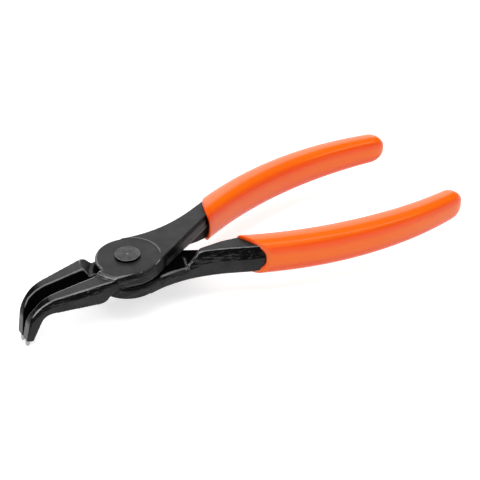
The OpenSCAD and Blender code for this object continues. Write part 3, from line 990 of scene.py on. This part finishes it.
class PLIERS_OT_grips(bpy.types.Operator):
    """Dip the two handles in plastic."""

    bl_idname = "pliers.grips"
    bl_label = "Dipped grips"

    def execute(self, context):
        g = context.scene.pliers_grips
        tree = grip_tree()
        sockets = {i.name: i.identifier for i in tree.interface.items_tree
                   if i.in_out == "INPUT"}
        for which, turn in (("lower", -1.0), ("upper", 1.0)):
            piece = new_object("dipped_grip_" + which, bpy.data.meshes.new("grip_" + which))
            sweep = piece.modifiers.new("sweep", "NODES")
            sweep.node_group = tree
            mouth = g.mouth_lower if which == "lower" else g.mouth_upper
            given = {"mouth": mouth, "turn": turn, "lap": PIVOT.z}
            for name in GRIP_INPUTS:
                sweep[sockets[name]] = given[name] if name in given else getattr(g, name)
            sweep[sockets["finish"]] = material(dipped_orange_plastic, context.scene.pliers_finish)
            baked(piece)
            self.close(piece.data, mouth)
            seat(piece, which + "_grip")
        return {"FINISHED"}

    def close(self, mesh, mouth):
        """Cleans the swept mesh, makes sure that it is closed, and paints it."""
        bm = bmesh.new()
        bm.from_mesh(mesh)
        bmesh.ops.dissolve_degenerate(bm, edges=bm.edges, dist=0.001 * MM)
        bmesh.ops.recalc_face_normals(bm, faces=bm.faces)
        open_edges = sum(1 for e in bm.edges if not e.is_manifold)
        bm.to_mesh(mesh)
        bm.free()
        if open_edges:
            raise RuntimeError(f"{mesh.name} has {open_edges} open edges")
        co = points_of(mesh)
        paint(mesh, "lip", 1 - ramp(mouth + 0.5 * MM, mouth + 2.5 * MM, co[:, 0]))
        flat = np.abs(normals_of(mesh)[:, 2])
        # painted shade: a band where the section turns from top and bottom to the sides
        paint(mesh, "thin", ramp(0.02, 0.25, flat) * (1 - ramp(0.4, 0.7, flat)))
        mesh.shade_smooth()


WHITE = (1.0, 1.0, 1.0, 1.0)


def ray_kind(s):
    """1 for rays that show the background: straight, mirrored or through glass."""
    ray = s.node("ShaderNodeLightPath", None, None)
    shown = Wire(s.tree, ray.outputs["Is Camera Ray"])
    for name in ("Is Glossy Ray", "Is Transmission Ray"):
        shown = shown.math("MAXIMUM", Wire(s.tree, ray.outputs[name]))
    return shown


class PLIERS_OT_stage(bpy.types.Operator):
    """Set up the pale floor, the soft light and the camera."""

    bl_idname = "pliers.stage"
    bl_label = "Stage"

    def execute(self, context):
        st = context.scene.pliers_stage
        context.scene.view_settings.view_transform = "Standard"
        self.floor(st)
        self.world(context, st)
        top = self.soft_box("top_box", st.top_light, 0.95, (0.10, 0.05, 0.85), (0.04, 0.0, 0.0))
        self.soft_box("jaw_box", st.side_light, 0.45, (-0.62, -0.30, 0.28), (-0.02, 0.0, -0.01))
        fill = self.soft_box("fill_box", st.fill_light, 0.9, (0.25, -1.0, 0.55), (0.05, 0.0, 0.0))
        top.visible_glossy = fill.visible_glossy = False
        self.soft_box("back_wall", st.back_light, 1.0, (0.57, 0.94, 0.46), (0.03, 0.0, 0.0), 0.85)
        # the strip runs along the picture, so its mirror line follows the grips
        turn = Matrix.Rotation(st.azimuth, 3, "Z")
        self.soft_box("strip_box", st.strip_light, 1.6, turn @ Vector((0.6, -0.28, 0.85)),
                      turn @ Vector((0.6, 0.0, 0.0)), 0.17)
        self.camera(context, st)
        return {"FINISHED"}

    def floor(self, st):
        """A pale floor that keeps the shadow and shows white."""
        made, s = new_material("pale_floor")
        cloud = s.noise(object_place(s), 6.0, 3.0)
        shade = s.mix(cloud, rgba(st.floor, 0.99), rgba(st.floor, 1.01))
        dull = s.node("ShaderNodeBsdfDiffuse", {"Color": shade, "Roughness": 0.5})
        glow = s.node("ShaderNodeEmission", {"Color": WHITE, "Strength": st.glow})
        white = s.node("ShaderNodeAddShader", {0: dull, 1: glow})
        mixed = s.node("ShaderNodeMixShader", {0: ray_kind(s), 1: dull, 2: white})
        s.node("ShaderNodeOutputMaterial", {"Surface": mixed}, None)
        low = Vector(CAD_BOX[0])
        bm = bmesh.new()
        bmesh.ops.create_grid(bm, x_segments=8, y_segments=8, size=4.0,
                              matrix=Matrix.Translation((0, 0, low.z - 0.02 * MM)))
        mesh = bpy.data.meshes.new("floor")
        bm.to_mesh(mesh)
        bm.free()
        mesh.materials.append(made)
        new_object("floor", mesh)

    def world(self, context, st):
        """A white surround, partly dim where the pliers mirror it."""
        world = context.scene.world or bpy.data.worlds.new("white_surround")
        context.scene.world = world
        world.use_nodes = True
        world.node_tree.nodes.clear()
        s = Sheet(world.node_tree)
        lit, seen, dim = (s.node("ShaderNodeBackground", {"Color": WHITE, "Strength": strength})
                          for strength in (st.sky, 1.0, st.room))
        way = s.node("ShaderNodeTexCoord", None, "Generated")
        turn = Matrix.Rotation(st.azimuth, 3, "Z")
        across, back, high = (
            s.node("ShaderNodeVectorMath", {0: way, 1: turn @ Vector(axis)}, "Value",
                   operation="DOT_PRODUCT")
            for axis in ((1, 0, 0), (0, 1, 0), (0, 0, 1)))
        # in reflections white low down, before and behind, and dim overhead and to the sides
        sweep = high.math("ARCTAN2", back) * (180.0 / math.pi)
        overhead = s.band(sweep, 46.0, 58.0) * (1.0 - 0.6 * s.band(sweep, 122.0, 134.0))
        aside = s.band(across.math("ABSOLUTE"), 0.28, 0.48)
        camera = s.node("ShaderNodeLightPath", None, "Is Camera Ray")
        dark = 1.0 - (1.0 - aside) * (1.0 - overhead)
        dark = dark * s.band(high, 0.02, 0.3) * (1.0 - camera)
        shown = s.node("ShaderNodeMixShader", {0: dark, 1: seen, 2: dim})
        mixed = s.node("ShaderNodeMixShader", {0: ray_kind(s), 1: lit, 2: shown})
        s.node("ShaderNodeOutputWorld", {"Surface": mixed}, None)

    def soft_box(self, name, power, size, place, aim, height=None):
        """A lamp with a soft face, turned to its aim and unseen by the camera."""
        lamp = bpy.data.lights.new(name, "AREA")
        lamp.energy, lamp.shape = power, "RECTANGLE"
        lamp.size, lamp.size_y = size, height or size
        made = new_object(name, lamp)
        made.visible_camera = False
        made.location = place
        made.rotation_euler = (Vector(aim) - Vector(place)).to_track_quat("-Z", "Y").to_euler()
        return made

    def camera(self, context, st):
        """The camera of the photo."""
        e, a = st.elevation, st.azimuth
        back = Vector((math.sin(a) * math.cos(e), -math.cos(a) * math.cos(e), math.sin(e)))
        lens = bpy.data.cameras.new("camera")
        lens.lens, lens.sensor_width = st.lens, 36.0
        lens.clip_start, lens.clip_end = 0.01, 50.0
        made = new_object("camera", lens)
        made.location = Vector(st.aim) + back * st.distance
        made.rotation_euler = (-back).to_track_quat("-Z", "Y").to_euler()
        context.scene.camera = made


STEPS = (PLIERS_OT_forged_halves, PLIERS_OT_rivet, PLIERS_OT_tip_pins, PLIERS_OT_grips,
         PLIERS_OT_stage)
GROUPS = {"pliers_forging": ForgingSizes, "pliers_grips": GripSizes, "pliers_rivet": RivetSizes,
          "pliers_finish": FinishColours, "pliers_stage": StageSizes}


class PLIERS_PT_sidebar(bpy.types.Panel):
    """Sidebar with the steps and the sizes."""

    bl_idname = "PLIERS_PT_sidebar"
    bl_label = "Bent Circlip Pliers"
    bl_space_type = "VIEW_3D"
    bl_region_type = "UI"
    bl_category = "Pliers"

    def draw(self, context):
        for step in STEPS:
            self.layout.operator(step.bl_idname)
        for name, group in GROUPS.items():
            box = self.layout.box()
            box.label(text=group.__name__)
            for prop in group.__annotations__:
                box.prop(getattr(context.scene, name), prop)


def register():
    for cls in (*GROUPS.values(), *STEPS, PLIERS_PT_sidebar):
        bpy.utils.register_class(cls)
    for name, group in GROUPS.items():
        setattr(bpy.types.Scene, name, PointerProperty(type=group))


def unregister():
    for name in GROUPS:
        delattr(bpy.types.Scene, name)
    for cls in (PLIERS_PT_sidebar, *reversed(STEPS), *reversed(list(GROUPS.values()))):
        bpy.utils.unregister_class(cls)


def main():
    register()
    bpy.ops.pliers.forged_halves()
    bpy.ops.pliers.rivet()
    bpy.ops.pliers.tip_pins()
    bpy.ops.pliers.grips()
    bpy.ops.pliers.stage()


if __name__ == "__main__":
    main()
